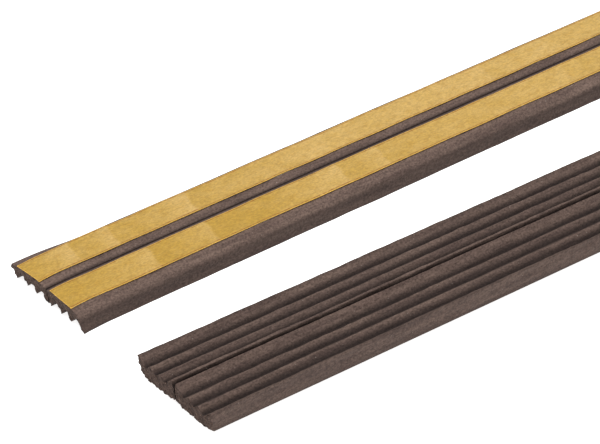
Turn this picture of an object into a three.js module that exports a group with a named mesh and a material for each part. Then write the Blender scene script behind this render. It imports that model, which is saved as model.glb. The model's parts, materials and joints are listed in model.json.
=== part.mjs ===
// Self-adhesive ribbed rubber draught seal: two cut lengths of a twin strip, lying side by side.
//
// Each length is a pair of extruded sponge-rubber strips joined by a thin tear-off web. Every strip
// has four ribs on one side. On the other it has a flat face that carries reinforced adhesive tape
// under a release liner.
// The tape_up length lies on its ribs with its liners on top. The ribs_up length lies on its liners.
//
// Millimetres. X runs along the lengths, Y across them, and Z up from the surface they lie on.
// The origin is at the middle of the object's footprint.

import * as THREE from 'three';

// ---- driving dimensions ---------------------------------------------------------------------

const LENGTH = 150;              // each cut length
const STAGGER = 1.5;             // how far the ribs_up length starts behind the tape_up one
const SEAM_SPACING = 32.8;       // from seam to seam of the two lengths, at their near ends
const TAPE_UP_TURN = 1.25;        // degrees: the tape_up length lies turned a little from the other

const STRIP = {
  baseWidth: 9.0,                // from the seam to the outer side, at the tape's end of the side
  ribWidth: 9.3,                 // the same, at the rib tips: the side leans out a little
  height: 3.9,                   // from the adhesive face to the tallest rib tips
  faceInner: 1.5,                // from the seam to the flat adhesive face
  faceWidth: 6.0,                // the flat adhesive face, and the tape and liner on it
  shoulderHeight: 1.0,           // how far the outer margin falls away from the face
};

const WEB = {
  halfWidth: 0.15,               // the web stands in the seam, between the two strips
  top: 0.55,                     // its tape side, as a depth from the adhesive face
  bottom: 1.0,                   // its rib side
};

// A strip's two tall ribs stand along its edges. Two low ones stand between them, and the valleys
// are where the flanks meet. Distances are from the seam.
const RIBS = {
  seamTip: 0.36,
  lowTips: [3.5, 6.05],
  valleys: [2.3, 4.8, 7.35],
  lowHeight: 3.42,               // the low ribs' corners, before they are rounded
  valleyHeight: 2.5,
  tallOvershoot: 0.183,          // how far a tall rib's sharp corner would pass its rounded tip
  tallRounding: 0.45,
  lowRounding: 0.4,
};

const TAPE = {
  baseCoat: 0.05,                // adhesive between the rubber and the mesh
  scrim: 0.10,                   // woven reinforcing mesh
  faceCoat: 0.05,                // adhesive that grips the frame
  liner: 0.10,                   // siliconised release paper
};

const TAB_LENGTH = 30;           // the end of a liner that is peeled back first
const CUT_LEAN = { tape_up: 1.6, ribs_up: 0.4 };   // how far the near cut leans back, top to bottom

const SHOULDER_ROUNDING = 0.5;
const CURVE_STEPS = 4;

// ---- derived sizes --------------------------------------------------------------------------

const tapeThickness = TAPE.baseCoat + TAPE.scrim + TAPE.faceCoat;
const fullHeight = STRIP.height + tapeThickness + TAPE.liner;
const faceOuter = STRIP.faceInner + STRIP.faceWidth;

const lengths = [
  {
    name: 'tape_up',
    seamY: SEAM_SPACING,
    near: 0,
    turn: THREE.MathUtils.degToRad(TAPE_UP_TURN),
    faceZ: STRIP.height,
    towardRibs: -1,
    tabs: { rear: 'near', front: 'far' },
  },
  {
    name: 'ribs_up',
    seamY: 0,
    near: STAGGER,
    turn: 0,
    faceZ: tapeThickness + TAPE.liner,
    towardRibs: 1,
    tabs: {},
  },
];

const sides = { rear: 1, front: -1 };

// ---- materials ------------------------------------------------------------------------------

function finish(color, roughness) {
  return new THREE.MeshStandardMaterial({ color, roughness, metalness: 0 });
}

const makeFinish = {
  sponge: () => finish(0x6b5a52, 0.9),
  adhesive: () => finish(0xd8cdb6, 0.35),
  scrim: () => finish(0xf0efe8, 0.8),
  liner: () => finish(0xd2ac62, 0.55),
};

// ---- outlines, in distance from the seam and depth from the adhesive face ---------------------

// A closed outline through the given corners, each cut back by its rounding and joined by a curve.
function roundedOutline(corners) {
  const outline = new THREE.Shape();
  const count = corners.length;
  corners.forEach(([across, depth, rounding], index) => {
    const corner = new THREE.Vector2(across, depth);
    const before = new THREE.Vector2(...corners[(index + count - 1) % count]);
    const after = new THREE.Vector2(...corners[(index + 1) % count]);
    const enter = before.sub(corner).setLength(rounding).add(corner);
    const leave = after.sub(corner).setLength(rounding).add(corner);
    if (index === 0) {
      outline.moveTo(enter.x, enter.y);
    } else {
      outline.lineTo(enter.x, enter.y);
    }
    if (rounding > 0) {
      outline.quadraticCurveTo(corner.x, corner.y, leave.x, leave.y);
    }
  });
  return outline;
}

function profileCorners() {
  const { height, faceInner, baseWidth, ribWidth, shoulderHeight } = STRIP;
  const { valleys, lowTips, lowHeight, valleyHeight, tallRounding, lowRounding } = RIBS;
  const tallHeight = height + RIBS.tallOvershoot;
  return [
    [WEB.halfWidth, WEB.top, 0],
    [faceInner, 0, 0],
    [faceOuter, 0, 0],
    [baseWidth, shoulderHeight, SHOULDER_ROUNDING],
    [ribWidth, tallHeight, tallRounding],
    [valleys[2], valleyHeight, lowRounding],
    [lowTips[1], lowHeight, lowRounding],
    [valleys[1], valleyHeight, lowRounding],
    [lowTips[0], lowHeight, lowRounding],
    [valleys[0], valleyHeight, lowRounding],
    [RIBS.seamTip, tallHeight, tallRounding],
    [WEB.halfWidth, WEB.bottom, 0],
  ];
}

function boxCorners(acrossStart, acrossEnd, depthStart, depthEnd) {
  return [
    [acrossStart, depthStart, 0],
    [acrossEnd, depthStart, 0],
    [acrossEnd, depthEnd, 0],
    [acrossStart, depthEnd, 0],
  ];
}

// ---- solids ---------------------------------------------------------------------------------

// The near cut leans back, so its place along X depends on the height.
function nearCutX(length, z) {
  return length.near + (CUT_LEAN[length.name] * (fullHeight - z)) / fullHeight;
}

// A length is drawn along X, then turned about the near end of its seam. The coordinates are turned
// here rather than by a group, so that pieces that touch keep exactly equal corners.
function layDown(length, x, y) {
  const along = x - length.near;
  const across = y - length.seamY;
  return {
    x: length.near + along * Math.cos(length.turn) - across * Math.sin(length.turn),
    y: length.seamY + along * Math.sin(length.turn) + across * Math.cos(length.turn),
  };
}

// Runs an outline along a length. start and end are places along it, or null for its own ends.
function runAlong(length, side, corners, start, end) {
  const placed = corners.map(([across, depth, rounding]) => [
    length.seamY + sides[side] * across,
    length.faceZ + length.towardRibs * depth,
    rounding,
  ]);
  const geometry = new THREE.ExtrudeGeometry(roundedOutline(placed), {
    depth: 1,
    bevelEnabled: false,
    curveSegments: CURVE_STEPS,
  });
  const position = geometry.attributes.position;
  for (let i = 0; i < position.count; i += 1) {
    const y = position.getX(i);
    const z = position.getY(i);
    const atStart = position.getZ(i) < 0.5;
    const x = atStart ? start ?? nearCutX(length, z) : end ?? length.near + LENGTH;
    const laid = layDown(length, x, y);
    position.setXYZ(i, laid.x, laid.y, z);
  }
  geometry.computeVertexNormals();
  return geometry;
}

function addPiece(group, name, geometry, material) {
  const mesh = new THREE.Mesh(geometry, material);
  mesh.name = name;
  group.add(mesh);
}

// The layers under and over the adhesive, as depths outward from the adhesive face.
function tapeLayers() {
  const { baseCoat, scrim, faceCoat, liner } = TAPE;
  const scrimStart = baseCoat;
  const faceStart = baseCoat + scrim;
  const linerStart = faceStart + faceCoat;
  return {
    base_coat: { from: 0, to: scrimStart, material: makeFinish.adhesive },
    scrim: { from: scrimStart, to: faceStart, material: makeFinish.scrim },
    face_coat: { from: faceStart, to: linerStart, material: makeFinish.adhesive },
    liner: { from: linerStart, to: linerStart + liner, material: makeFinish.liner },
  };
}

function layerCorners(layer) {
  return boxCorners(STRIP.faceInner, faceOuter, -layer.to, -layer.from);
}

// A liner is whole, or split into the part still stuck down and the tab that peels back from one end.
function addLiner(group, length, side, layer) {
  const name = `${length.name}_liner_${side}`;
  const corners = layerCorners(layer);
  const nearFold = length.near + TAB_LENGTH;
  const farFold = length.near + LENGTH - TAB_LENGTH;
  const spans = {
    near: { stuck: [nearFold, null], tab: [null, nearFold] },
    far: { stuck: [null, farFold], tab: [farFold, null] },
  }[length.tabs[side]] ?? { stuck: [null, null] };
  addPiece(group, name, runAlong(length, side, corners, ...spans.stuck), layer.material());
  if (spans.tab) {
    addPiece(group, `${name}_tab`, runAlong(length, side, corners, ...spans.tab), layer.material());
  }
}

function addStrip(group, length, side) {
  const profile = runAlong(length, side, profileCorners(), null, null);
  addPiece(group, `${length.name}_profile_${side}`, profile, makeFinish.sponge());
  for (const [layerName, layer] of Object.entries(tapeLayers())) {
    if (layerName === 'liner') {
      addLiner(group, length, side, layer);
    } else {
      const slab = runAlong(length, side, layerCorners(layer), null, null);
      addPiece(group, `${length.name}_${layerName}_${side}`, slab, layer.material());
    }
  }
}

function addWeb(group, length) {
  const corners = boxCorners(-WEB.halfWidth, WEB.halfWidth, WEB.top, WEB.bottom);
  const web = runAlong(length, 'rear', corners, null, null);
  addPiece(group, `${length.name}_seam_web`, web, makeFinish.sponge());
}

// ---- assembly -------------------------------------------------------------------------------

// Moves every piece by the same amount, so that the origin is at the middle of the footprint.
function centreFootprint(group) {
  const centre = new THREE.Box3().setFromObject(group).getCenter(new THREE.Vector3());
  group.children.forEach((mesh) => mesh.geometry.translate(-centre.x, -centre.y, 0));
}

const draughtSeal = new THREE.Group();

for (const length of lengths) {
  for (const side of Object.keys(sides)) {
    addStrip(draughtSeal, length, side);
  }
  addWeb(draughtSeal, length);
}
centreFootprint(draughtSeal);

export default draughtSeal;
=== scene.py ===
"""Looks of a self-adhesive ribbed door seal: two cut lengths of a twin sponge-rubber strip.

The tape_up length lies on its ribs, with its golden release liners on top. The ribs_up length lies
on its liners. Sizes inside the script are millimetres in a length's own coordinates: along it from
its near cut end, across it from the seam (rear side positive), and in depth from the adhesive face
towards the ribs. lay_down() turns them into metres in the shared frame.
"""

import json
import math

import bmesh
import bpy
import numpy as np
from bpy.props import FloatProperty, FloatVectorProperty, IntProperty, PointerProperty
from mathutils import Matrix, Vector, geometry, noise


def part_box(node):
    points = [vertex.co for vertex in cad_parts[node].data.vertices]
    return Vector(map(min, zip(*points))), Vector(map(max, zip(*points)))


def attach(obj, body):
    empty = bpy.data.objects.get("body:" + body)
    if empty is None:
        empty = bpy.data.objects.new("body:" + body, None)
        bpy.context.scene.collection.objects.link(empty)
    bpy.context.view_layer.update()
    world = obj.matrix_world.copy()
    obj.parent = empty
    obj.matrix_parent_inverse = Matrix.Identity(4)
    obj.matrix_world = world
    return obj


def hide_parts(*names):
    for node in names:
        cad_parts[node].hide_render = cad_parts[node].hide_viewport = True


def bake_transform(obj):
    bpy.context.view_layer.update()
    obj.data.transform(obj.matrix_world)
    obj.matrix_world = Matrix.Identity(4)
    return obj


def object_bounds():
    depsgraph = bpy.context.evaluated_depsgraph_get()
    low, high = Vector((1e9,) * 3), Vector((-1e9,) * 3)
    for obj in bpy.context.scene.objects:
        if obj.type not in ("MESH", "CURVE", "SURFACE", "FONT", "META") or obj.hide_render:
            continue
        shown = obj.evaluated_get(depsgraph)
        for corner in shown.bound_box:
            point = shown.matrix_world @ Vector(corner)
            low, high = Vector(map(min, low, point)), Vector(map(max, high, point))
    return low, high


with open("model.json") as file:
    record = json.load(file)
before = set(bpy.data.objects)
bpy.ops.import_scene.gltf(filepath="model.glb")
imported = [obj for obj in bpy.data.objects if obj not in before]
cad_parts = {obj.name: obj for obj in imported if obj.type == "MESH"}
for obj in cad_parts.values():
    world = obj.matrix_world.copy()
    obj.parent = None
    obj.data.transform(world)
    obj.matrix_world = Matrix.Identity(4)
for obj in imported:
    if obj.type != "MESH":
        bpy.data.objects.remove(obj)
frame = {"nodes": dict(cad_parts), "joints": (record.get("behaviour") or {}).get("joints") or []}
cad_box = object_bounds()

bl_info = {
    "name": "Ribbed door seal",
    "version": (1, 0, 0),
    "blender": (4, 5, 0),
    "location": "View3D > Sidebar > Door seal",
    "description": "Builds two cut lengths of a self-adhesive sponge-rubber door seal",
    "category": "Add Mesh",
}

MM = 0.001
LENGTHS = ("tape_up", "ribs_up")
SIDES = {"rear": 1, "front": -1}
LAID = "laid_mm"        # attribute: along, across and depth of each point, in millimetres
PAINTED_SHADE = "shelter"     # attribute: how much shade is painted on, 0 on a rib's crest, 1 at the bottom of a groove
LIFT = "lift"           # attribute: 0 where a liner sticks flat, 1 where it has come away
EDGE = "edge_mm"        # attribute: distance from a sheet's nearest long edge
RIM = "rim_mm"          # attribute: distance from a sheet's nearest edge, the cut ends included


def linear(hex_colour):
    """An sRGB hex colour as linear red, green and blue."""
    parts = [int(hex_colour[i:i + 2], 16) / 255 for i in (1, 3, 5)]
    return tuple(c / 12.92 if c <= 0.04045 else ((c + 0.055) / 1.055) ** 2.4 for c in parts)


def joint(name):
    return next(j for j in frame["joints"] if j["name"] == name)


# ---- what a user may change ---------------------------------------------------------------------

def size(name, default_mm, description):
    return FloatProperty(name=name, description=description, default=default_mm * MM, min=0.0,
                         precision=5, unit="LENGTH", subtype="DISTANCE")


def colour(name, hex_colour, description):
    return FloatVectorProperty(name=name, description=description, default=linear(hex_colour),
                               size=3, min=0.0, max=1.0, subtype="COLOR")


class SealSizes(bpy.types.PropertyGroup):
    """Sizes of the strips, the tape and their natural unevenness."""
    base_width: size("Base width", 9.0, "From the seam to the outer side, at the tape")
    rib_width: size("Rib width", 9.3, "From the seam to the outer side, at the rib tips")
    face_inner: size("Face start", 1.5, "From the seam to the flat adhesive face")
    face_width: size("Tape width", 6.0, "Width of the adhesive face, the tape and the liner")
    tall_rib: size("Tall rib", 3.9, "Height of the two outer ribs over the adhesive face")
    low_rib: size("Low rib", 3.33, "Corner height of the two inner ribs over the adhesive face")
    groove: size("Groove", 2.38, "Corner height of the grooves over the adhesive face")
    coat: size("Adhesive coat", 0.05, "Thickness of each adhesive coat")
    scrim: size("Mesh", 0.10, "Thickness of the reinforcing mesh")
    liner: size("Liner", 0.10, "Thickness of the release paper")
    mesh_pitch: size("Mesh pitch", 1.5, "Thread spacing of the reinforcing mesh")
    waviness: size("Waviness", 0.07, "How far the ribs wander from straight")
    cut_roughness: size("Cut roughness", 0.24, "How rough the knife-cut ends are")
    liner_lift: size("Liner lift", 0.11, "How far the liner bulges between two creases")
    peel_bend: size("Peel bend", 5.0, "Length of liner that curls where a tab is peeled back")
    minor_creases: IntProperty(name="Faint creases", description="Faint creases on each liner",
                               default=5, min=0, max=20)


class SealColours(bpy.types.PropertyGroup):
    """Colours of the rubber, the tape and the liner."""
    rubber: colour("Rubber", "#6c5a51", "Skin of the sponge rubber")
    rubber_dark: colour("Rubber, dark", "#55453f", "Darker streaks of the skin")
    cut_rubber: colour("Cut rubber", "#453731", "Open cells of a cut end")
    liner: colour("Liner", "#ae8a38", "Release paper where it sticks flat")
    liner_lifted: colour("Liner, lifted", "#c2a05e", "Release paper where it has come away")
    adhesive: colour("Adhesive", "#cdbf9c", "Acrylic adhesive over the mesh")
    thread: colour("Thread", "#e6e2d6", "Threads of the reinforcing mesh")
    floor: colour("Floor", "#e9e9e8", "Surface that the lengths lie on")


# ---- coordinates --------------------------------------------------------------------------------

def ramp(x, start, stop):
    """0 up to start and 1 from stop on, with a straight slope between them."""
    return np.clip((x - start) / (stop - start), 0, 1)


class Lay:
    """Where one length lies in the shared frame, and how it differs there from a straight bar."""

    CUT_LEAN = {"tape_up": 1.6, "ribs_up": 0.4}  # mm that the near cut leans back, top to bottom
    CUT_SKEW = {"tape_up": 0.03, "ribs_up": 0.0}     # mm of cut per mm across the length
    CUT_FADE = 14.0          # mm along over which the near cut's shape fades out
    SHELF = 0.4              # mm that the knife took off the tape side of the tape_up length
    REAR_CORNER = 0.56       # mm that its rear corner stands out at the near cut
    RIB_REACH = 0.3          # mm that its ribs stand out there
    FRONT_CORNER = 0.6       # mm that the ribs_up length's low front corner is cut back
    RIB_SPLAY = 0.5          # mm that the tape_up length's front rib leans out at its near end
    MARGIN_OUT = 0.1, 0.2    # mm that its rear margin stands out: all along, more at the near end
    MARGIN_UP = 0.16, 0.75   # mm that the margin stands up, in the same way
    PINCH = 0.06             # share of its height that the knife pressed down at the near end
    REAR_PINCH = 0.03        # more of it along the rear side
    EDGE_FALL = 0.028        # mm per mm across that the ribs_up length is lower away from its seam
    HEADROOM = 0.06          # mm that a piece may stand over the CAD model

    def __init__(self, name):
        self.name = name
        axis = joint(f"{name}_fold")["axis"]
        self.along = np.array([-axis[0], -axis[1]])
        self.across = np.array([-self.along[1], self.along[0]])
        flat = self.points(n for n in frame["nodes"] if n.startswith(name))
        web = self.points([f"{name}_seam_web"])
        start = (flat @ self.along).min()
        self.length = ((flat @ self.along).max() - start) / MM
        seam = web @ self.across
        self.near = self.along * start + self.across * (seam.min() + seam.max()) / 2
        low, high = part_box(f"{name}_profile_rear")
        self.ribs_down = name == "tape_up"
        self.face = (high.z if self.ribs_down else low.z) / MM
        self.top = cad_box[1].z / MM

    @staticmethod
    def points(nodes):
        return np.array([v.co[:2] for n in nodes for v in frame["nodes"][n].data.vertices])

    @staticmethod
    def margin(across, depth, start):
        """1 on the margin outside the rear tape, and 0 elsewhere."""
        return ramp(across, start, start + 1.5) * ramp(depth, 2.4, 1.0)

    def sunk(self, side):
        """Whether the strip's outer margin has sunk onto the floor."""
        return side == "front" and not self.ribs_down

    def height(self, depth):
        """Height over the floor of a depth from the adhesive face."""
        return self.face - depth if self.ribs_down else self.face + depth

    def lay_down(self, along, across, depth):
        """Points of the length, in mm, as metres in the shared frame."""
        z = np.clip(self.height(depth), 0.0, self.top + self.HEADROOM)
        xy = self.near + (np.multiply.outer(along, self.along)
                          + np.multiply.outer(across, self.across)) * MM
        return np.concatenate([xy, (z * MM)[..., None]], axis=-1)

    def near_cut(self, along, across, depth):
        """Shifts points near the cut end back, as the cut leans and isn't quite flat."""
        height = self.height(depth)
        back = self.CUT_LEAN[self.name] * (self.top - height) / self.top
        back = back + self.CUT_SKEW[self.name] * np.clip(across, -9, 9)
        if self.ribs_down:
            back = back + self.SHELF * ramp(across, 7.5, 2.5) * height / self.top
            back = back - self.REAR_CORNER * ramp(across, 7.4, 9.0) * ramp(depth, 3.4, 1.0)
            back = back - self.RIB_REACH * ramp(depth, 2.0, 3.5)
        else:
            back = back + self.FRONT_CORNER * ramp(-across, 7.9, 9.2) * ramp(height, 1.3, 0.0)
        return along + back * ramp(along, self.CUT_FADE, 0.0)

    def splay(self, along, across, depth):
        """Spreads the tape_up length's front rib at its near end, and its rear margin all along."""
        if not self.ribs_down:
            return across
        rib = ramp(-across, 6.5, 9.3) * ramp(depth, 0.0, 3.9) ** 2
        across = across - self.RIB_SPLAY * rib * ramp(along, 6.0, 0.0) ** 1.5
        steady, near = self.MARGIN_OUT
        return across + self.margin(across, depth, 7.5) * (steady + near * ramp(along, 12.0, 0.0))

    def sag(self, along, across, depth):
        """How the length lies, as a new depth. The ribs_up one falls a little towards both outer
        edges. On the other the knife has pinched the end, so that its tape side is lower over the
        last few mm, and its rear margin stands up."""
        if not self.ribs_down:
            fall = self.EDGE_FALL * np.clip(np.abs(across) - 0.5, 0, None)
            return depth - fall * ramp(depth, 0.0, 2.0)
        pinch = self.PINCH * ramp(along, 5.0, 0.0) ** 2
        pinch = pinch + self.REAR_PINCH * ramp(along, 7.0, 0.0) ** 2 * ramp(across, 5.0, 9.0)
        depth = self.face - (self.face - depth) * (1 - pinch)
        steady, near = self.MARGIN_UP
        rise = steady + near * ramp(along, 13.0, 0.0) ** 1.5
        return depth - self.margin(across, depth, 7.45) * rise


def each_strip():
    """The four strips: the length that each belongs to, and its side."""
    for name in LENGTHS:
        lay = Lay(name)
        for side in SIDES:
            yield lay, side


def wander(points, sizes_mm, seed):
    """Smooth noise from about -1 to 1 at points in mm, with features of the given sizes."""
    offset = Vector((seed * 7.31, seed * 3.77, seed * 5.13))
    scaled = np.asarray(points, float) / np.asarray(sizes_mm, float)
    return np.array([noise.noise(Vector(p) + offset) for p in scaled.reshape(-1, 3)])


# ---- meshes -------------------------------------------------------------------------------------

def new_object(name, verts, faces, materials, body=None, replaced=(),
               sharp_from=40):
    """A smooth mesh with sharp edges where faces meet at more than sharp_from degrees. It rides on
    its body, if it has one, and stands for the CAD nodes that it replaces."""
    mesh = bpy.data.meshes.new(name)
    mesh.from_pydata([tuple(v) for v in verts], [], faces)
    mesh.polygons.foreach_set("use_smooth", [True] * len(mesh.polygons))
    piece = bpy.data.objects.new(name, mesh)
    bpy.context.scene.collection.objects.link(piece)
    for material in materials:
        mesh.materials.append(material)
    shell = bmesh.new()
    shell.from_mesh(mesh)
    bmesh.ops.recalc_face_normals(shell, faces=shell.faces)
    shell.to_mesh(mesh)
    shell.free()
    mesh.set_sharp_from_angle(angle=math.radians(sharp_from))
    if body:
        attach(piece, body)
    if replaced:
        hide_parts(*replaced)
    return piece


def store(piece, name, values):
    """Keeps a number or a vector for each point of a piece, for its material to read."""
    values = np.asarray(values, np.float32)
    kind = "FLOAT_VECTOR" if values.ndim == 2 else "FLOAT"
    attribute = piece.data.attributes.new(name, kind, "POINT")
    attribute.data.foreach_set("vector" if values.ndim == 2 else "value", values.ravel())


def mm(value):
    """A length in metres, as millimetres."""
    return value / MM


WEB_HALF = 0.15              # mm from the seam to the side of the web between two strips
WEB_DEPTHS = 0.55, 1.0       # mm from the adhesive face to the web's tape side and rib side
VALLEYS = 7.35, 4.8, 2.3     # mm from the seam, from the outer side inwards
LOW_TIPS = 6.05, 3.5         # the two low ribs between them
OVERSHOOT = 0.12             # mm that a tall rib's sharp corner would pass its rounded tip
SPREAD = 0.1                 # mm that a sunk margin or a rib that carries weight is pressed out

# How each length's ribs differ from the sizes that a user may change, in mm. The ribs that a length
# lies on are more level, with deeper grooves, and flat is half the flat bottom of such a groove.
RIBS = {
    "tape_up": {"low": 0.36, "groove": -0.35, "flat": 0.38, "seam_tip": 0.36, "rounding": 0.3},
    "ribs_up": {"low": 0.1, "groove": 0.0, "flat": 0.0, "seam_tip": 0.44, "rounding": 0.18},
}


def strip_corners(sizes, lay, side):
    """Section of one strip: distance from the seam, depth and rounding of each corner."""
    ribs = RIBS[lay.name]
    sunk = lay.sunk(side)
    outer = mm(sizes.base_width) + (SPREAD if sunk else 0.0)
    tip = mm(sizes.rib_width) + (SPREAD if lay.ribs_down and side == "front" else 0.0)
    face = mm(sizes.face_inner)
    tall = mm(sizes.tall_rib) + OVERSHOOT
    low = mm(sizes.low_rib) + (0.0 if sunk else ribs["low"])
    groove = mm(sizes.groove) + ribs["groove"]
    flat = ribs["flat"]
    tape_side, rib_side = WEB_DEPTHS
    corners = [
        (WEB_HALF, tape_side, 0.0),
        (face, 0.0, 0.12),
        (face + mm(sizes.face_width), 0.0, 0.12),
        (outer, -0.16, 0.45) if sunk else (outer, 1.0, 1.0),
        (tip, tall, 0.3),
    ]
    for valley, low_tip in zip(VALLEYS, (*LOW_TIPS, None)):
        corners += [(valley + d, groove, 0.2) for d in ((flat, -flat) if flat else (0.0,))]
        if low_tip:
            corners.append((low_tip, low, 0.2))
    if not lay.ribs_down and side == "rear":
        corners.append((ribs["seam_tip"] + 0.4, tall, 0.2))     # this rib's tip has a small flat
    return corners + [(ribs["seam_tip"], tall, ribs["rounding"]), (WEB_HALF, rib_side, 0.0)]


def painted_shade_of(outline, lay):
    """How much shade is painted on each point of a section: 0 on the tape's margins, more on the
    rib side and the outer side, and 1 at the bottoms of the grooves and in the gap along the seam."""
    across, depth = outline.T
    rib_side = 0.2 * ramp(depth, 2.0, 2.3) * (across < 9.05)
    if lay.ribs_down:
        outer_side = 0.62 * ramp(depth, 0.5, 1.7)
    else:
        outer_side = 0.4 + 0.25 * ramp(depth, 1.4, 0.0)
    outer_side = outer_side * ramp(across, 8.5, 9.0)
    grooves = ramp(depth, 3.3, 2.58) * ((depth > 2.1) & (across > 0.5) & (across < 8.9))
    seam_gap = ramp(depth, 3.78, 3.43) * ((across < 0.47) & (depth > 0.9))
    seam_groove = 0.8 * ramp(across, 0.6, WEB_HALF) * (depth < 0.9)
    return np.max([rib_side, outer_side, grooves, seam_gap, seam_groove], axis=0)


def section(corners, spacing):
    """A closed outline through the corners, each rounded by a quadratic curve of close points."""
    corners = np.array(corners)

    def cut_back(corner, other):
        """Where a corner's rounding meets its side towards another corner."""
        step = other - corner
        return corner + step * min(1.0, corner[2] / np.hypot(step[0], step[1]))

    points = []
    for i, corner in enumerate(corners):
        before, after = corners[i - 1], corners[(i + 1) % len(corners)]
        enter, leave = cut_back(corner, before), cut_back(corner, after)
        if corner[2] > 0:
            for t in np.linspace(0, 1, 7):
                points.append(enter * (1 - t) ** 2 + corner * 2 * t * (1 - t) + leave * t ** 2)
        else:
            points.append(corner)
        start, stop = points[-1], cut_back(after, corner)
        steps = max(1, round(np.hypot(*(stop - start)[:2]) / spacing))
        points += [start + (stop - start) * k / steps for k in range(1, steps)]
    return np.array(points)[:, :2]


def outward(outline):
    """Unit normals of a closed outline, pointing out of it."""
    ahead = np.roll(outline, -1, axis=0) - np.roll(outline, 1, axis=0)
    normal = np.stack([ahead[:, 1], -ahead[:, 0]], axis=1)
    normal /= np.linalg.norm(normal, axis=1)[:, None]
    from_middle = outline - outline.mean(axis=0)
    return normal if (normal * from_middle).sum() > 0 else -normal


def stations(length, fine, coarse, reach):
    """Places along a length: fine steps at both ends, which grow to coarse ones over reach mm."""
    half = []
    s = 0.0
    while s < length / 2:
        half.append(s)
        s += fine + (coarse - fine) * min(1.0, s / reach)
    return np.array(half + [length / 2] + [length - v for v in reversed(half)])


def tube_faces(rings, around):
    """Quads between neighbouring rings of points."""
    return [
        (i * around + j, i * around + (j + 1) % around,
         (i + 1) * around + (j + 1) % around, (i + 1) * around + j)
        for i in range(rings - 1) for j in range(around)
    ]


def cap_faces(ring, inner, first_inner, reverse):
    """Triangles that fill a ring of points in a plane and use the inner points too."""
    count = len(ring)
    edges = [(i, (i + 1) % count) for i in range(count)]
    points = [Vector(p) for p in np.concatenate([ring, inner])]
    _, _, faces, origins, _, _ = geometry.delaunay_2d_cdt(points, edges, [], 1, 1e-6)
    found = []
    for face in faces:
        corners = [origins[i][0] for i in face]
        found.append([c if c < count else first_inner + c - count for c in corners])
    return [f[::-1] for f in found] if reverse else found


def inner_points(outline, spacing, rng):
    """Scattered points inside an outline, none too close to it."""
    low, high = outline.min(axis=0), outline.max(axis=0)
    grid = np.array([(u, w) for u in np.arange(low[0], high[0], spacing)
                     for w in np.arange(low[1], high[1], spacing)])
    grid = grid + rng.uniform(-0.3, 0.3, grid.shape) * spacing
    inside = np.zeros(len(grid), bool)
    nearest = np.full(len(grid), np.inf)
    for start, stop in zip(outline, np.roll(outline, -1, axis=0)):
        edge, away = stop - start, grid - start
        crosses = (start[1] > grid[:, 1]) != (stop[1] > grid[:, 1])
        reach = start[0] + away[:, 1] * edge[0] / (edge[1] or 1e-12)
        inside ^= crosses & (grid[:, 0] < reach)
        t = np.clip(away @ edge / (edge @ edge), 0, 1)
        nearest = np.minimum(nearest, np.linalg.norm(away - t[:, None] * edge, axis=1))
    return grid[inside & (nearest > spacing * 0.45)]


def cut_relief(across, depth, roughness, seed):
    """How deep a point of a cut end lies: torn cells with pits between them."""
    at = np.stack([across, depth, np.zeros_like(across)], axis=1)
    rough = 0.55 * wander(at, (0.75, 0.75, 1), seed) + 0.45 * wander(at, (0.3, 0.3, 1), seed + 1)
    pits = np.array([noise.voronoi(Vector(p) / 0.5)[0][0] for p in at])
    return roughness * (rough + 0.9 * np.clip(0.42 - pits, 0, 1))


DEEPEST_DENT = 0.08          # mm: a deeper one would fold a rib's narrow tip over
CUT_REACH = 0.45             # mm over which the ragged edge of a cut dies away


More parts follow.
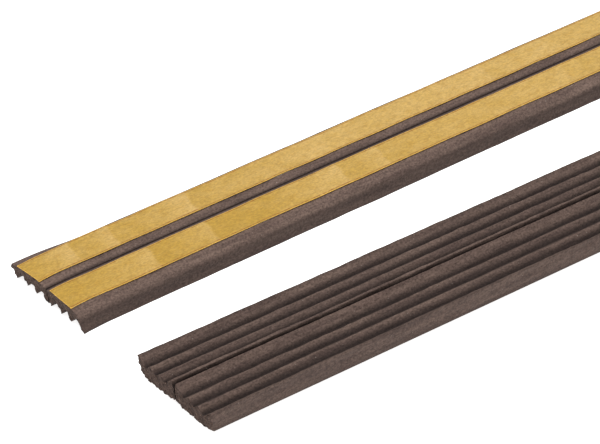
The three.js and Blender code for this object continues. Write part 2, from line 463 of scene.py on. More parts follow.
def sponge_strip(context, lay, side):
    """One extruded sponge strip, swept along its length, with rough cut ends."""
    sizes = context.scene.door_seal_sizes
    sign = SIDES[side]
    seed = 11 + 17 * LENGTHS.index(lay.name) + 5 * (sign > 0)
    rng = np.random.default_rng(seed)
    outline = section(strip_corners(sizes, lay, side), 0.3)
    # Painted shade for each point of the section, 0 on the crests and 1 in the grooves.
    shelter = painted_shade_of(outline, lay)
    places = stations(lay.length, 0.14, 0.5, 5.0)
    n_ring, n_out = len(places), len(outline)
    s = np.repeat(places, n_out)
    u, w = np.tile(outline, (n_ring, 1)).T
    at = np.stack([s, u, w], axis=1)

    def all_along(values):
        return np.tile(values, n_ring)

    # The die's surface is steady where the tape and the web join it, and wanders elsewhere.
    across, depth = outline.T
    held_face = ramp(depth, 0.0, 0.9)
    held_web = ramp(across, WEB_HALF, WEB_HALF + 0.5)
    tall_tip = ramp(depth, 3.2, 3.9)
    crest = (1 - shelter) * ramp(depth, 2.6, 3.1)
    wave = mm(sizes.waviness)
    slow = wander(at, (22, 2.6, 2.6), seed)
    medium = wander(at, (6.5, 1.3, 1.3), seed + 1)
    quick = wander(at, (1.5, 0.8, 0.8), seed + 2)
    amount = wave * (0.9 * slow + 1.1 * medium) * all_along(held_face * held_web)
    amount += wave * 2.3 * quick * all_along(crest * held_face * held_web * (1 - 0.5 * tall_tip))
    amount = np.maximum(amount, -DEEPEST_DENT)
    sideways = wave * 1.3 * wander(at * (1, 1, 0), (14, 2.2, 1), seed + 3)
    normal = all_along(outward(outline).T)
    u2 = u + normal[0] * amount + sideways * all_along(crest * held_web * (1 - 0.6 * tall_tip))
    w2 = w + normal[1] * amount

    # Both cuts have a ragged edge.
    rough = mm(sizes.cut_roughness)
    ragged = wander(at * (0, 1, 1), (1, 0.55, 0.55), seed + 4)
    free = 0.25 + 0.75 * held_face if lay.ribs_down else np.ones(n_out)
    torn = rough * 1.7 * np.clip(ragged, -0.3, 1) * all_along(free)
    s2 = s + torn * (np.exp(-s / CUT_REACH) - np.exp(-(lay.length - s) / CUT_REACH))

    faces = tube_faces(n_ring, n_out)
    side_faces = len(faces)
    for far in (False, True):
        ring_start = (n_ring - 1) * n_out if far else 0
        ring = np.stack([u2, w2], axis=1)[ring_start:ring_start + n_out]
        inner = inner_points(ring, 0.17, rng)
        deep = cut_relief(inner[:, 0], inner[:, 1], rough, seed + 6 + far)
        for face in cap_faces(ring, inner, len(u2), far):
            faces.append([c + ring_start if c < n_out else c for c in face])
        s2 = np.concatenate([s2, lay.length - deep if far else deep])
        u2 = np.concatenate([u2, inner[:, 0]])
        w2 = np.concatenate([w2, inner[:, 1]])
    across = sign * u2
    along = lay.near_cut(s2, across, w2)
    depth = lay.sag(along, across, w2)
    across = lay.splay(along, across, w2)
    piece = new_object(
        f"{lay.name}_sponge_strip_{side}", lay.lay_down(along, across, depth), faces,
        [sponge_skin(context), sponge_cut(context)],
        f"{lay.name}_{side}", [f"{lay.name}_profile_{side}"], 48)
    for i, polygon in enumerate(piece.data.polygons):
        polygon.material_index = int(i >= side_faces)
    store(piece, LAID, np.stack([s2, across, w2], axis=1))
    # Painted shade on the swept skin; the cut ends get none.
    painted_shade_per_point = np.zeros(len(u2))
    painted_shade_per_point[:n_ring * n_out] = all_along(shelter)
    store(piece, PAINTED_SHADE, painted_shade_per_point)


TAPE_SET_BACK = 0.8          # mm that the ribs_up length's tape stops short of its ragged near cut
REAR_INSET = 0.16, 0.1       # mm off tape_up's rear tape: all along, and more at its near end
REAR_INSET_FADE = 10.0       # mm along over which that extra fades out


def sheet_mesh(lay, sign, depths, relief, inner, outer, columns, row_step, edge_wander, seed,
               short=0.0):
    """A thin sheet on the adhesive face, from inner to outer mm away from the seam. relief(s, u)
    gives how far its outer side stands up in mm, and how far it has come away."""
    set_back = short + (0.0 if lay.ribs_down else TAPE_SET_BACK)
    places = stations(lay.length, 0.3, row_step, 3.0)
    places = set_back + places * (lay.length - set_back) / lay.length
    if lay.ribs_down and sign > 0:
        steady, near = REAR_INSET
        outer = outer - steady - near * ramp(places, REAR_INSET_FADE, 0.0)
    n_s, n_u = len(places), columns + 1
    line = np.stack([places, places * 0, places * 0], axis=1)
    left = np.repeat(inner + edge_wander * wander(line, (7, 1, 1), seed), n_u)
    right = np.repeat(outer + edge_wander * wander(line, (8, 1, 1), seed + 1), n_u)
    share = np.tile(0.5 - 0.5 * np.cos(np.linspace(0, np.pi, n_u)), n_s)
    s = np.repeat(places, n_u)
    u = left * (1 - share) + right * share
    rise, lift = relief(s, sign * u)
    edge = np.minimum(u - left, right - u)
    rim_distance = np.minimum(edge, np.minimum(s, lay.length - s))
    count = len(s)
    faces = []
    for i in range(n_s - 1):
        for a in range(i * n_u, i * n_u + columns):
            b, c, d = a + 1, a + 1 + n_u, a + n_u
            faces += [(a, b, c, d), (a + count, d + count, c + count, b + count)]
    rim = [i * n_u for i in range(n_s)] + [(n_s - 1) * n_u + j for j in range(1, n_u)]
    rim += [i * n_u + columns for i in range(n_s - 2, -1, -1)] + list(range(columns - 1, 0, -1))
    faces += [(a, b, b + count, a + count) for a, b in zip(rim, rim[1:] + rim[:1])]
    s, across = np.tile(s, 2), np.tile(sign * u, 2)
    depth = np.concatenate([depths[1] - rise, np.full(count, depths[0])])
    along = lay.near_cut(s, across, depth)
    verts = lay.lay_down(along, across, lay.sag(along, across, depth))
    attributes = {
        LAID: np.stack([s, across, depth], axis=1),
        LIFT: np.tile(lift, 2),
        EDGE: np.tile(edge, 2),
        RIM: np.tile(rim_distance, 2),
    }
    return verts, faces, attributes


# ---- materials ----------------------------------------------------------------------------------

COLOURS = {"data_type": "RGBA"}
SHADE = {"data_type": "RGBA", "blend_type": "MULTIPLY"}
IN_MM = {"vector_type": "TEXTURE"}      # a mapping whose scale is the size of a pattern's features
ADD = {"operation": "ADD"}
TIMES = {"operation": "MULTIPLY"}


def add_node(tree, kind, settings=None, **inputs):
    """Adds a node with its settings and inputs: a socket is linked, and anything else is set."""
    node = tree.nodes.new(kind)
    for key, value in (settings or {}).items():
        setattr(node, key, value)
    for key, value in inputs.items():
        socket = node.inputs[int(key[1:]) if key[1:].isdigit() else key.replace("_", " ")]
        if isinstance(value, bpy.types.NodeSocket):
            tree.links.new(value, socket)
        else:
            socket.default_value = value
    return node


def rgba(values):
    return (*values, 1.0)


def made_once(name, preview):
    """For a function that builds a material's nodes and returns its shader: makes the material
    under this name the first time it is asked for. preview is the colour that it has in the
    viewport."""
    def wrap(build):
        def finished(context):
            material = bpy.data.materials.get(name)
            if material is None:
                colours = context.scene.door_seal_colours
                material = bpy.data.materials.new(name)
                material.use_nodes = True
                material.diffuse_color = rgba(getattr(colours, preview))
                tree = material.node_tree
                tree.nodes.clear()
                shader = build(tree, colours)
                add_node(tree, "ShaderNodeOutputMaterial", None, Surface=shader.outputs[0])
            return material
        return finished
    return wrap


def patterns(tree, rows):
    """Uneven patterns laid out in millimetres. A row is a pattern's name, its features' sizes
    along, across and up, the angle that it is turned by, its detail and roughness, and a shift
    that sets it apart from the others."""
    laid = add_node(tree, "ShaderNodeAttribute", {"attribute_name": LAID}).outputs["Vector"]
    found = {"laid": laid}
    for name, sizes_mm, turn, detail, roughness, shift in rows:
        placed = add_node(tree, "ShaderNodeMapping", IN_MM, Vector=laid, Scale=sizes_mm,
                          Rotation=(0.0, 0.0, turn), Location=(shift, shift, shift))
        found[name] = add_node(tree, "ShaderNodeTexNoise", None, Vector=placed.outputs[0],
                               Scale=1.0, Detail=detail, Roughness=roughness).outputs[0]
    return found


def tinted(tree, base, rows):
    """A base colour with tints over it. A row is what a tint follows, the low and high values that
    it appears between, its share at the high one, and the tint."""
    for what, low, high, share, tint in rows:
        part = add_node(tree, "ShaderNodeMapRange", None, Value=what, From_Min=low, From_Max=high,
                        To_Max=share)
        base = add_node(tree, "ShaderNodeMix", COLOURS, _0=part.outputs[0], _6=base,
                        _7=rgba(tint)).outputs[2]
    return base


@made_once("extruded_epdm_sponge_skin", "rubber")
def sponge_skin(tree, colours):
    """Extruded EPDM sponge: the closed skin is matt and fine-grained, drawn out into faint streaks
    along the strip and slightly rippled, and it holds a few pale specks of filler. Shade is painted
    into it: a little on the rib side and the outer side, most at the bottoms of the grooves and in
    the gap along the seam."""
    pattern = patterns(tree, (
        ("streaks", (14, 0.9, 0.9), 0.0, 3.0, 0.55, 0.0),
        ("patches", (5.0, 2.2, 2.2), 0.0, 2.0, 0.55, 3.1),
        # The cells under the skin are about 0.1 mm; they are drawn 0.3 mm wide, or would not show.
        ("grain", (0.42, 0.3, 0.3), 0.0, 3.0, 0.7, 7.7),
        ("specks", (0.3, 0.24, 0.24), 0.0, 1.0, 0.4, 1.9),
        ("ripples", (1.5, 0.55, 0.55), 0.0, 2.0, 0.5, 4.4),
        ("wrinkles", (0.55, 2.0, 2.0), 0.6, 1.0, 0.5, 2.6),
    ))
    # Painted shade: the stored shade value mixes the skin towards near black, most at the bottoms
    # of the grooves and in the seam gap.
    shelter = add_node(tree, "ShaderNodeAttribute", {"attribute_name": PAINTED_SHADE}).outputs["Fac"]
    base = tinted(tree, rgba(colours.rubber_dark), (
        (pattern["streaks"], 0.35, 0.68, 1.0, colours.rubber),
        (pattern["patches"], 0.35, 0.7, 0.35, linear("#78655c")),
        (pattern["specks"], 0.77, 0.81, 0.75, linear("#b3a79c")),
        (shelter, 0.0, 1.0, 0.93, linear("#1e1614")),
    ))
    tone = add_node(tree, "ShaderNodeMapRange", None, Value=pattern["grain"], From_Min=0.34,
                    From_Max=0.66, To_Min=0.6, To_Max=1.34)
    base = add_node(tree, "ShaderNodeMix", SHADE, _0=1.0, _6=base, _7=tone.outputs[0])
    fine = add_node(tree, "ShaderNodeMath", TIMES, _0=pattern["grain"], _1=0.55)
    here = add_node(tree, "ShaderNodeMapRange", None, Value=pattern["patches"], From_Min=0.42,
                    From_Max=0.6, To_Max=2.2)
    folds = add_node(tree, "ShaderNodeMath", TIMES, _0=pattern["wrinkles"], _1=here.outputs[0])
    relief = add_node(tree, "ShaderNodeMath", ADD, _0=fine.outputs[0], _1=pattern["ripples"])
    relief = add_node(tree, "ShaderNodeMath", ADD, _0=relief.outputs[0], _1=folds.outputs[0])
    bump = add_node(tree, "ShaderNodeBump", None, Strength=0.6, Distance=0.00016,
                    Height=relief.outputs[0])
    dull = add_node(tree, "ShaderNodeMapRange", None, Value=pattern["patches"], From_Min=0.3,
                    From_Max=0.7, To_Min=0.78, To_Max=0.9)
    return add_node(tree, "ShaderNodeBsdfPrincipled", None, Base_Color=base.outputs[2],
                    Roughness=dull.outputs[0], IOR=1.47, Specular_IOR_Level=0.2,
                    Normal=bump.outputs[0])


@made_once("knife_cut_epdm_sponge", "cut_rubber")
def sponge_cut(tree, colours):
    """Knife-cut EPDM sponge: painted shade darkens the middle of each opened cell and leaves its
    torn rim lighter.
    """
    pattern = patterns(tree, (
        ("clumps", (0.8, 0.8, 0.8), 0.0, 3.0, 0.6, 0.0),
        ("flecks", (0.26, 0.26, 0.26), 0.0, 1.0, 0.4, 6.1),
    ))
    # Cells are 0.1 to 0.3 mm; the larger size is used, because the smaller would not show.
    cells = add_node(tree, "ShaderNodeTexVoronoi", {"feature": "F1"}, Vector=pattern["laid"],
                     Scale=1 / 0.34, Randomness=1.0).outputs["Distance"]
    # Painted shade: near black at the middle of each cell, rising to the cut rubber's colour at its
    # rim.
    base = tinted(tree, rgba(linear("#2a201c")), (
        (cells, 0.12, 0.62, 1.0, colours.cut_rubber),
        (pattern["clumps"], 0.4, 0.7, 0.5, linear("#66534a")),
        (pattern["flecks"], 0.7, 0.76, 0.7, linear("#a3897a")),
    ))
    height = add_node(tree, "ShaderNodeMath", ADD, _0=cells, _1=pattern["clumps"])
    bump = add_node(tree, "ShaderNodeBump", None, Strength=0.9, Distance=0.0002,
                    Height=height.outputs[0])
    dull = add_node(tree, "ShaderNodeMapRange", None, Value=pattern["clumps"], From_Min=0.3,
                    From_Max=0.7, To_Min=0.86, To_Max=0.97)
    return add_node(tree, "ShaderNodeBsdfPrincipled", None, Base_Color=base,
                    Roughness=dull.outputs[0], IOR=1.47, Specular_IOR_Level=0.2,
                    Normal=bump.outputs[0])


@made_once("siliconised_kraft_release_paper", "liner")
def release_paper(tree, colours):
    """Siliconised kraft paper, glazed in the mill: golden, with a soft satin gloss. It is paler
    where it has come away from the adhesive, and a bright highlight is painted along its edges."""
    pattern = patterns(tree, (
        ("clouds", (4.5, 2.5, 2.5), 0.0, 3.0, 0.6, 0.0),
        # Kraft fibres are 0.03 mm wide; they are drawn as 0.3 mm flocks, or they would not show.
        ("flocks", (0.5, 0.3, 0.3), 0.0, 3.0, 0.7, 2.3),
        ("blots", (1.7, 1.0, 1.0), 0.0, 2.0, 0.5, 8.8),
        ("scuffs", (0.9, 0.35, 0.35), 0.0, 2.0, 0.5, 5.7),
    ))
    lift, edge, rim = (
        add_node(tree, "ShaderNodeAttribute", {"attribute_name": name}).outputs["Fac"]
        for name in (LIFT, EDGE, RIM))
    loose = add_node(tree, "ShaderNodeMapRange", None, Value=pattern["clouds"], From_Min=0.3,
                     From_Max=0.7, To_Min=-0.2, To_Max=0.2)
    away = add_node(tree, "ShaderNodeMath", ADD, _0=lift, _1=loose.outputs[0])
    # The knife that cut the tape pressed a darker line just inside its edges.
    rises = add_node(tree, "ShaderNodeMapRange", None, Value=edge, From_Min=0.08, From_Max=0.18)
    falls = add_node(tree, "ShaderNodeMapRange", None, Value=edge, From_Min=0.5, From_Max=0.26)
    pressed = add_node(tree, "ShaderNodeMath", TIMES, _0=rises.outputs[0], _1=falls.outputs[0])
    broken = add_node(tree, "ShaderNodeMath", TIMES, _0=pressed.outputs[0], _1=pattern["scuffs"])
    base = tinted(tree, rgba(colours.liner), (
        (away.outputs[0], 0.0, 1.0, 1.0, colours.liner_lifted),
        (pattern["blots"], 0.5, 0.68, 0.3, linear("#a57c2c")),
        (broken.outputs[0], 0.2, 0.6, 0.9, linear("#87521a")),
        # Painted highlight: the paper turns bright gold within 0.12 mm of its edges, the cut ends
        # included.
        (rim, 0.12, 0.03, 1.0, linear("#d3a647")),
    ))
    tone = add_node(tree, "ShaderNodeMapRange", None, Value=pattern["flocks"], From_Min=0.34,
                    From_Max=0.66, To_Min=0.79, To_Max=1.17)
    base = add_node(tree, "ShaderNodeMix", SHADE, _0=1.0, _6=base, _7=tone.outputs[0])
    fine = add_node(tree, "ShaderNodeMath", TIMES, _0=pattern["flocks"], _1=0.35)
    relief = add_node(tree, "ShaderNodeMath", ADD, _0=fine.outputs[0], _1=pattern["clouds"])
    bump = add_node(tree, "ShaderNodeBump", None, Strength=0.45, Distance=0.00012,
                    Height=relief.outputs[0])
    satin = add_node(tree, "ShaderNodeMapRange", None, Value=pattern["flocks"], From_Min=0.3,
                     From_Max=0.7, To_Min=0.45, To_Max=0.62)
    return add_node(tree, "ShaderNodeBsdfPrincipled", None, Base_Color=base.outputs[2],
                    Roughness=satin.outputs[0], IOR=1.5, Specular_IOR_Level=0.28,
                    Normal=bump.outputs[0])


@made_once("coated_acrylic_adhesive", "adhesive")
def acrylic_adhesive(tree, colours):
    """Coated acrylic adhesive: wet-looking and tacky. The mesh in it shows as pale crossing
    lines."""
    pattern = patterns(tree, (
        ("clouds", (2.5, 1.5, 1.5), 0.0, 3.0, 0.6, 0.0),
        ("strings", (0.6, 0.4, 0.4), 0.0, 3.0, 0.65, 5.2),
    ))
    half_pitch = mm(bpy.context.scene.door_seal_sizes.mesh_pitch) / 2
    parts = add_node(tree, "ShaderNodeSeparateXYZ", None, Vector=pattern["laid"]).outputs
    lines = []
    for part in (parts[0], parts[1]):
        cycle = add_node(tree, "ShaderNodeMath", {"operation": "PINGPONG"}, _0=part, _1=half_pitch)
        # A line's middle is half a pitch away, and it is 0.2 mm wide with soft sides.
        lines.append(add_node(tree, "ShaderNodeMapRange", None, Value=cycle.outputs[0],
                              From_Min=half_pitch - 0.26, From_Max=half_pitch - 0.1).outputs[0])
    threads = add_node(tree, "ShaderNodeMath", {"operation": "MAXIMUM"}, _0=lines[0],
                       _1=lines[1]).outputs[0]
    base = tinted(tree, rgba(colours.adhesive), (
        (pattern["clouds"], 0.35, 0.7, 1.0, linear("#b9a778")),
        (threads, 0.0, 1.0, 0.75, colours.thread),
    ))
    fine = add_node(tree, "ShaderNodeMath", TIMES, _0=pattern["strings"], _1=0.6)
    height = add_node(tree, "ShaderNodeMath", ADD, _0=fine.outputs[0], _1=threads)
    bump = add_node(tree, "ShaderNodeBump", None, Strength=0.5, Distance=0.00012,
                    Height=height.outputs[0])
    wet = add_node(tree, "ShaderNodeMapRange", None, Value=pattern["clouds"], From_Min=0.3,
                   From_Max=0.7, To_Min=0.16, To_Max=0.34)
    return add_node(tree, "ShaderNodeBsdfPrincipled", None, Base_Color=base,
                    Roughness=wet.outputs[0], IOR=1.47, Normal=bump.outputs[0])


@made_once("woven_polyester_scrim", "thread")
def polyester_thread(tree, colours):
    """Woven polyester scrim: off-white filament threads with a faint twist and a dull lustre."""
    laid = add_node(tree, "ShaderNodeAttribute", {"attribute_name": LAID}).outputs["Vector"]
    # Filaments are 0.02 mm; the twist is drawn 0.5 mm long, or it would not show.
    twist = add_node(tree, "ShaderNodeTexWave", {"bands_direction": "DIAGONAL"}, Vector=laid,
                     Scale=1 / 0.5, Distortion=2.0, Detail=2.0).outputs["Fac"]
    fuzz = add_node(tree, "ShaderNodeTexNoise", None, Vector=laid, Scale=1 / 0.3, Detail=3.0,
                    Roughness=0.6).outputs[0]
    base = tinted(tree, rgba(colours.thread), (
        (twist, 0.2, 0.8, 0.5, linear("#b9b3a2")),
        (fuzz, 0.4, 0.7, 0.4, linear("#f3f0e6")),
    ))
    bump = add_node(tree, "ShaderNodeBump", None, Strength=0.6, Distance=0.00005, Height=twist)
    dull = add_node(tree, "ShaderNodeMapRange", None, Value=fuzz, From_Min=0.3, From_Max=0.7,
                    To_Min=0.5, To_Max=0.7)
    return add_node(tree, "ShaderNodeBsdfPrincipled", None, Base_Color=base,
                    Roughness=dull.outputs[0], IOR=1.57, Sheen_Weight=0.2, Normal=bump.outputs[0])


@made_once("opal_acrylic_light_table", "floor")
def light_table(tree, colours):
    """Opal acrylic sheet lit from below: an even white that takes hardly any shadow."""
    place = add_node(tree, "ShaderNodeTexCoord").outputs["Object"]
    stipple = add_node(tree, "ShaderNodeTexNoise", None, Vector=place, Scale=400.0, Detail=2.0)
    base = add_node(tree, "ShaderNodeMix", COLOURS, _0=stipple.outputs[0], _6=rgba(colours.floor),
                    _7=rgba(linear("#e6e6e5")))
    return add_node(tree, "ShaderNodeBsdfPrincipled", None, Base_Color=base.outputs[2],
                    Roughness=0.9, Specular_IOR_Level=0.1, Emission_Color=(1.0, 1.0, 1.0, 1.0),
                    Emission_Strength=0.8)


# ---- operators ----------------------------------------------------------------------------------

class DOORSEAL_OT_stage(bpy.types.Operator):
    """Makes the pale floor, the soft studio light and the camera"""
    bl_idname = "door_seal.stage"
    bl_label = "Stage, light and camera"

    AZIMUTH = -37.63         # degrees round from the front
    ELEVATION = 33.99        # degrees over the floor
    DISTANCE = 0.5167        # metres from the target
    TARGET = (-0.02942, 0.00929, 0.0)
    LENS, SENSOR = 191.5, 36.0   # mm
    FLOOR_HALF = 6.0         # metres
    FLOOR_DROP = 0.00002     # metres under the object, so that no two surfaces share a plane
    SKY = 0.55               # strength of the even light from all round
    LAMPS = (
        # name, place, size in metres, power in watts
        ("overhead_softbox", (0.0, -0.25, 1.2), 1.5, 17.0),
    )

    def execute(self, context):
        self.floor(context)
        self.light(context)
        self.camera(context)
        return {"FINISHED"}

    def floor(self, context):
        half = self.FLOOR_HALF
        corners = [(-half, -half, 0), (half, -half, 0), (half, half, 0), (-half, half, 0)]
        floor = new_object("floor", corners, [(0, 1, 2, 3)], [light_table(context)])
        floor.location.z = -self.FLOOR_DROP

    def light(self, context):
        world = bpy.data.worlds.new("studio")
        world.use_nodes = True
        sky = world.node_tree.nodes["Background"].inputs
        sky["Color"].default_value = (1.0, 1.0, 1.0, 1.0)
        sky["Strength"].default_value = self.SKY
        context.scene.world = world
        for name, place, width, power in self.LAMPS:
            lamp = bpy.data.lights.new(name, "AREA")
            lamp.shape = "DISK"
            lamp.size = width
            lamp.energy = power
            holder = bpy.data.objects.new(name, lamp)
            holder.location = place
            aim = Vector((0, 0, 0)) - Vector(place)
            holder.rotation_euler = aim.to_track_quat("-Z", "Y").to_euler()
            context.scene.collection.objects.link(holder)
        context.scene.view_settings.view_transform = "Standard"

    def camera(self, context):
        a, e = math.radians(self.AZIMUTH), math.radians(self.ELEVATION)
        back = Vector((math.sin(a) * math.cos(e), -math.cos(a) * math.cos(e), math.sin(e)))
        data = bpy.data.cameras.new("camera")
        data.lens = self.LENS
        data.sensor_width = self.SENSOR
        data.clip_start, data.clip_end = 0.01, 50.0
        camera = bpy.data.objects.new("camera", data)
        camera.location = Vector(self.TARGET) + back * self.DISTANCE
        camera.rotation_mode = "QUATERNION"
        camera.rotation_quaternion = (-back).to_track_quat("-Z", "Y")
        context.scene.collection.objects.link(camera)
        context.scene.camera = camera


class DOORSEAL_OT_sponge_strips(bpy.types.Operator):
    """Makes the four extruded sponge-rubber strips"""
    bl_idname = "door_seal.sponge_strips"
    bl_label = "Sponge strips"

    def execute(self, context):
        for lay, side in each_strip():
            sponge_strip(context, lay, side)
        return {"FINISHED"}


class DOORSEAL_OT_seam_webs(bpy.types.Operator):
    """Makes the thin tear-off skin that joins the two strips of each length"""
    bl_idname = "door_seal.seam_webs"
    bl_label = "Seam webs"

    BITE = 0.06              # mm that the skin runs into each strip, so that no crack shows
    HOLLOW = 0.09            # mm that each of its faces is hollow in the middle
    SHY = 0.01               # mm that each face lies inside the CAD web's
    UNEVEN = 0.02            # mm that it undulates
    SHORT = 0.15             # mm that it stops short of each cut
    COLUMNS = 11             # points across each face
    BEND_AT = 20.0           # mm along to the place where the ends of the web's rib side are taken

    def execute(self, context):
        for name in LENGTHS:
            self.web(context, Lay(name))
        return {"FINISHED"}

    def web(self, context, lay):
        reach = WEB_HALF + self.BITE
        tape_side, rib_side = WEB_DEPTHS
        across = np.linspace(reach, -reach, self.COLUMNS)
        inset = self.HOLLOW * (1 - (across / reach) ** 2) + self.SHY
        outline = np.concatenate([
            np.stack([across, tape_side + inset], axis=1),
            np.stack([across, rib_side - inset], axis=1)[::-1],
        ])
        places = stations(lay.length - 2 * self.SHORT, 0.2, 0.6, 4.0) + self.SHORT
        n_out = len(outline)
        s = np.repeat(places, n_out)
        u, w = np.tile(outline, (len(places), 1)).T
        uneven = self.UNEVEN * wander(np.stack([s, u, w], axis=1), (1.8, 0.4, 0.4), 71)
        w = w + uneven * ramp(np.abs(u), reach, 0.0)
        faces = tube_faces(len(places), n_out)
        last = (len(places) - 1) * n_out
        for j in range(self.COLUMNS - 1):
            quad = (j, j + 1, n_out - 2 - j, n_out - 1 - j)
            faces += [quad, tuple(last + k for k in quad[::-1])]
        along = lay.near_cut(s, u, w)
        verts = lay.lay_down(along, u, lay.sag(along, u, w))
        piece = new_object(f"{lay.name}_seam_skin", verts, faces, [sponge_skin(context)],
                           None, [f"{lay.name}_seam_web"])
        store(piece, LAID, np.stack([s, u, w], axis=1))
        # Painted shade: the whole web is painted fully shaded, as it lies deep between the strips.
        store(piece, PAINTED_SHADE, np.ones(len(s)))
        ends = [lay.lay_down(np.array(self.BEND_AT), np.array(x), np.array(rib_side))
                for x in (WEB_HALF, -WEB_HALF)]
        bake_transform(piece)


class DOORSEAL_OT_adhesive(bpy.types.Operator):
    """Makes the two adhesive coats of each strip's tape"""
    bl_idname = "door_seal.adhesive"
    bl_label = "Adhesive coats"

    INSET = 0.22             # mm that a coat keeps inside the tape's long edges
    SHORT = 0.15             # mm that it stops short of the liner at the near cut
    PRINT = 0.018            # mm that it dips between the threads of the mesh
    PRINT_REACH = 0.3        # mm from a thread's middle to the bottom of the dip
    EDGE_WANDER = 0.04       # mm that its long edges stray
    ROW_STEP = 0.375         # mm: a quarter of the mesh's pitch
    SEED = 31

    def execute(self, context):
        for lay, side in each_strip():
            self.coats(context, lay, side)
        return {"FINISHED"}

    def coats(self, context, lay, side):
        sizes = context.scene.door_seal_sizes
        coat, scrim, pitch = mm(sizes.coat), mm(sizes.scrim), mm(sizes.mesh_pitch)
        inner = mm(sizes.face_inner)
        outer = inner + mm(sizes.face_width)

        def flat(s, u):
            return np.zeros_like(s), np.zeros_like(s)

        def printed(s, u):
            """The threads stand up a little under the coat."""
            away = np.minimum(*(np.abs((x + pitch / 2) % pitch - pitch / 2) for x in (s, u)))
            return -self.PRINT * (1 - ramp(away, self.PRINT_REACH, 0.0)), np.zeros_like(s)

        for layer, depths, relief, columns in (
            ("base_coat", (0.0, -coat), flat, 6),
            ("face_coat", (-coat - scrim, -2 * coat - scrim), printed, 20),
        ):
            verts, faces, attributes = sheet_mesh(
                lay, SIDES[side], depths, relief, inner + self.INSET, outer - self.INSET, columns,
                self.ROW_STEP, self.EDGE_WANDER, self.SEED, self.SHORT)
            piece = new_object(
                f"{lay.name}_adhesive_{layer}_{side}", verts, faces, [acrylic_adhesive(context)],
                f"{lay.name}_{side}", [f"{lay.name}_{layer}_{side}"])
            store(piece, LAID, attributes[LAID])


class DOORSEAL_OT_scrim(bpy.types.Operator):
    """Makes the woven reinforcing mesh inside each strip's tape"""
    bl_idname = "door_seal.scrim"
    bl_label = "Reinforcing mesh"

    INSET = 0.26, 0.42       # mm that the mesh keeps inside the tape's inner and outer edges
    HALF_WIDTH = 0.16        # mm: half of a thread's width
    HALF_THICK = 0.24        # half of a thread's thickness, as a share of the mesh's
    WEAVE = 0.22             # how far it rises and dips as it passes other threads, likewise
    SHORT = 0.05             # mm that the long threads stop short of the cuts

    def execute(self, context):
        for lay, side in each_strip():
            self.mesh(context, lay, side)
        return {"FINISHED"}

    def mesh(self, context, lay, side):
        sizes = context.scene.door_seal_sizes
        pitch, thick = mm(sizes.mesh_pitch), mm(sizes.scrim)
        middle = -mm(sizes.coat) - thick / 2
        weave = thick * self.WEAVE
        inner = mm(sizes.face_inner) + self.INSET[0]
        outer = mm(sizes.face_inner) + mm(sizes.face_width) - self.INSET[1]
        points, faces = [], []

        def thread(path, sideways):
            """One flat thread, a diamond section swept along its path."""
            first = len(points)
            for s, u, w in path:
                for a, b in ((1, 0), (0, 1), (-1, 0), (0, -1)):
                    out = a * self.HALF_WIDTH
                    points.append((s + sideways[0] * out, u + sideways[1] * out,
                                   w + b * thick * self.HALF_THICK))
            end = first + (len(path) - 1) * 4
            faces.extend(tuple(first + k for k in quad) for quad in tube_faces(len(path), 4))
            faces.append((first + 3, first + 2, first + 1, first))
            faces.append((end, end + 1, end + 2, end + 3))

        rows = np.arange(math.ceil(inner / pitch), math.floor(outer / pitch) + 1) * pitch
        count = round(lay.length / pitch)
        stops = np.linspace(self.SHORT, lay.length - self.SHORT, 2 * count + 1)
        for k, u in enumerate(rows):
            thread([(s, u, middle + weave * math.cos(math.pi * (s / pitch + k))) for s in stops],
                   (0, 1))
        for k in range(1, count):
            thread([(k * pitch, u, middle - weave * math.cos(math.pi * ((u - rows[0]) / pitch + k)))
                    for u in np.linspace(inner, outer, 9)], (1, 0))
        s, u, w = np.array(points).T
        across = SIDES[side] * u
        along = lay.near_cut(s, across, w)
        verts = lay.lay_down(along, across, lay.sag(along, across, w))
        piece = new_object(
            f"{lay.name}_woven_mesh_{side}", verts, faces, [polyester_thread(context)],
            f"{lay.name}_{side}", [f"{lay.name}_scrim_{side}"])
        store(piece, LAID, np.stack([s, across, w], axis=1))


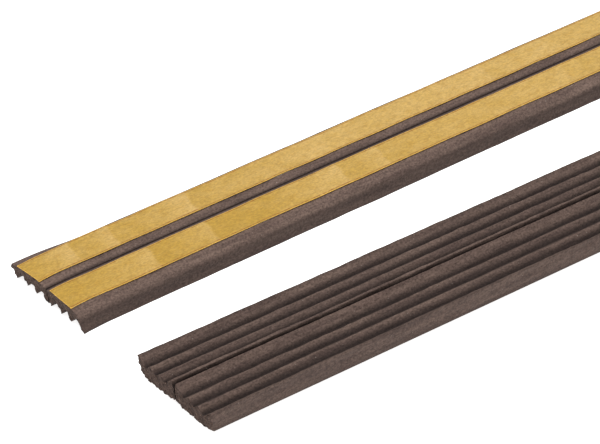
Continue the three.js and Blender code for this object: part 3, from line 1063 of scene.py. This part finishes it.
class DOORSEAL_OT_liners(bpy.types.Operator):
    """Makes the golden release liners, with their creases and lifted patches"""
    bl_idname = "door_seal.liners"
    bl_label = "Release liners"

    # Strong creases, in mm from the near end.
    CREASES = {
        ("tape_up", "rear"): (9.3, 17.0, 32.4),
        ("tape_up", "front"): (18.6, 30.1, 57.0, 65.5),
        ("ribs_up", "rear"): (24.0, 71.0),
        ("ribs_up", "front"): (41.0, 96.0),
    }
    FAINT = 0.35             # strength of the faint creases, where the strong ones have 1
    LAST = 0.3               # strength of the last bulge, which runs past the far end
    OVERRUN = 4.0            # mm that the first and last bulges run past the ends
    SLANT = 0.21             # mm that a crease runs along per mm across
    STRAY = 0.35             # mm that it strays from straight
    DROP = 0.5               # mm over which the paper drops at a crease, or comes down at its edges
    COCKLE = 0.022           # mm that it cockles everywhere
    MOST = 0.115             # mm that it may rise
    SETTLED = 0.035          # mm that it is lowered, so that its bulges stand out of the CAD less
    # How far it has come away, apart from its creases: near the near end, and where more starts.
    LOOSE = {"rear": (0.22, 24.0), "front": (0.0, 38.0)}
    TABS = {("tape_up", "rear"): "tape_up_rear_peel", ("tape_up", "front"): "tape_up_front_peel"}

    def execute(self, context):
        for lay, side in each_strip():
            self.liner(context, lay, side)
        return {"FINISHED"}

    def liner(self, context, lay, side):
        sizes = context.scene.door_seal_sizes
        sign = SIDES[side]
        seed = 201 + 13 * LENGTHS.index(lay.name) + 7 * (sign > 0)
        rng = np.random.default_rng(seed)
        base = 2 * mm(sizes.coat) + mm(sizes.scrim)
        inner = mm(sizes.face_inner)
        outer = inner + mm(sizes.face_width)
        strong = self.CREASES[lay.name, side]
        faint = rng.uniform(max(strong) + 6, lay.length - 6, sizes.minor_creases)
        marks = sorted([(c, 1.0) for c in strong] + [(c, self.FAINT) for c in faint])
        ends = np.array([-self.OVERRUN, *(c for c, _ in marks), lay.length + self.OVERRUN])
        power = np.array([*(p for _, p in marks), self.LAST])
        bulge = mm(sizes.liner_lift)
        at_first, from_here = self.LOOSE[side]

        def creased(s, u):
            """Height of the outer side over the flat liner's, and how far it has come away."""
            stray = self.STRAY * wander(np.stack([s * 0, u, s * 0], axis=1), (1, 1.5, 1), seed + 5)
            place = s - self.SLANT * (u - sign * (inner + outer) / 2) + stray
            cell = np.clip(np.searchsorted(ends, place) - 1, 0, len(ends) - 2)
            start, stop = ends[cell], ends[cell + 1]
            t = ramp(place, start, stop)
            # The paper rises slowly from one crease and drops sharply at the next.
            shape = t ** 1.6 * ramp((1 - t) * (stop - start), 0.0, self.DROP)
            edge = np.minimum(np.abs(u) - inner, outer - np.abs(u))
            rise = bulge * shape * power[cell] * np.clip(edge / self.DROP, 0.15, 1)
            cockle = self.COCKLE * wander(np.stack([s, u, s * 0], axis=1), (3.2, 1.8, 1), seed + 6)
            loose = at_first * ramp(s, 0.0, 6.0) + 0.5 * ramp(s, from_here, from_here + 40.0)
            lift = np.clip(0.75 * shape ** 1.6 * power[cell] + loose, 0, 1)
            return np.clip(rise + cockle, 0, self.MOST) - self.SETTLED, lift

        verts, faces, attributes = sheet_mesh(
            lay, sign, (-base, -base - mm(sizes.liner)), creased, inner + 0.03, outer - 0.03, 26,
            0.4, 0.16, seed)
        nodes = [f"{lay.name}_liner_{side}"]
        peel = self.TABS.get((lay.name, side))
        if peel:
            nodes.append(f"{lay.name}_liner_{side}_tab")
        piece = new_object(
            f"{lay.name}_release_liner_{side}", verts, faces, [release_paper(context)],
            None if peel else f"{lay.name}_{side}", nodes)
        for name, values in attributes.items():
            store(piece, name, values)
        if peel:
            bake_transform(piece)


STEPS = (DOORSEAL_OT_stage, DOORSEAL_OT_sponge_strips, DOORSEAL_OT_seam_webs, DOORSEAL_OT_adhesive,
         DOORSEAL_OT_scrim, DOORSEAL_OT_liners)


class DOORSEAL_PT_panel(bpy.types.Panel):
    """Lists the sizes, the colours and the steps that build the seal"""
    bl_idname = "DOORSEAL_PT_panel"
    bl_label = "Ribbed door seal"
    bl_space_type = "VIEW_3D"
    bl_region_type = "UI"
    bl_category = "Door seal"

    def draw(self, context):
        for step in STEPS:
            self.layout.operator(step.bl_idname)
        for group in (context.scene.door_seal_sizes, context.scene.door_seal_colours):
            box = self.layout.box()
            for name in type(group).__annotations__:
                box.prop(group, name)


CLASSES = (SealSizes, SealColours, *STEPS, DOORSEAL_PT_panel)


def register():
    for made in CLASSES:
        bpy.utils.register_class(made)
    bpy.types.Scene.door_seal_sizes = PointerProperty(type=SealSizes)
    bpy.types.Scene.door_seal_colours = PointerProperty(type=SealColours)


def unregister():
    del bpy.types.Scene.door_seal_colours
    del bpy.types.Scene.door_seal_sizes
    for made in reversed(CLASSES):
        bpy.utils.unregister_class(made)


def main():
    register()
    bpy.ops.door_seal.stage()
    bpy.ops.door_seal.sponge_strips()
    bpy.ops.door_seal.seam_webs()
    bpy.ops.door_seal.adhesive()
    bpy.ops.door_seal.scrim()
    bpy.ops.door_seal.liners()


if __name__ == "__main__":
    main()
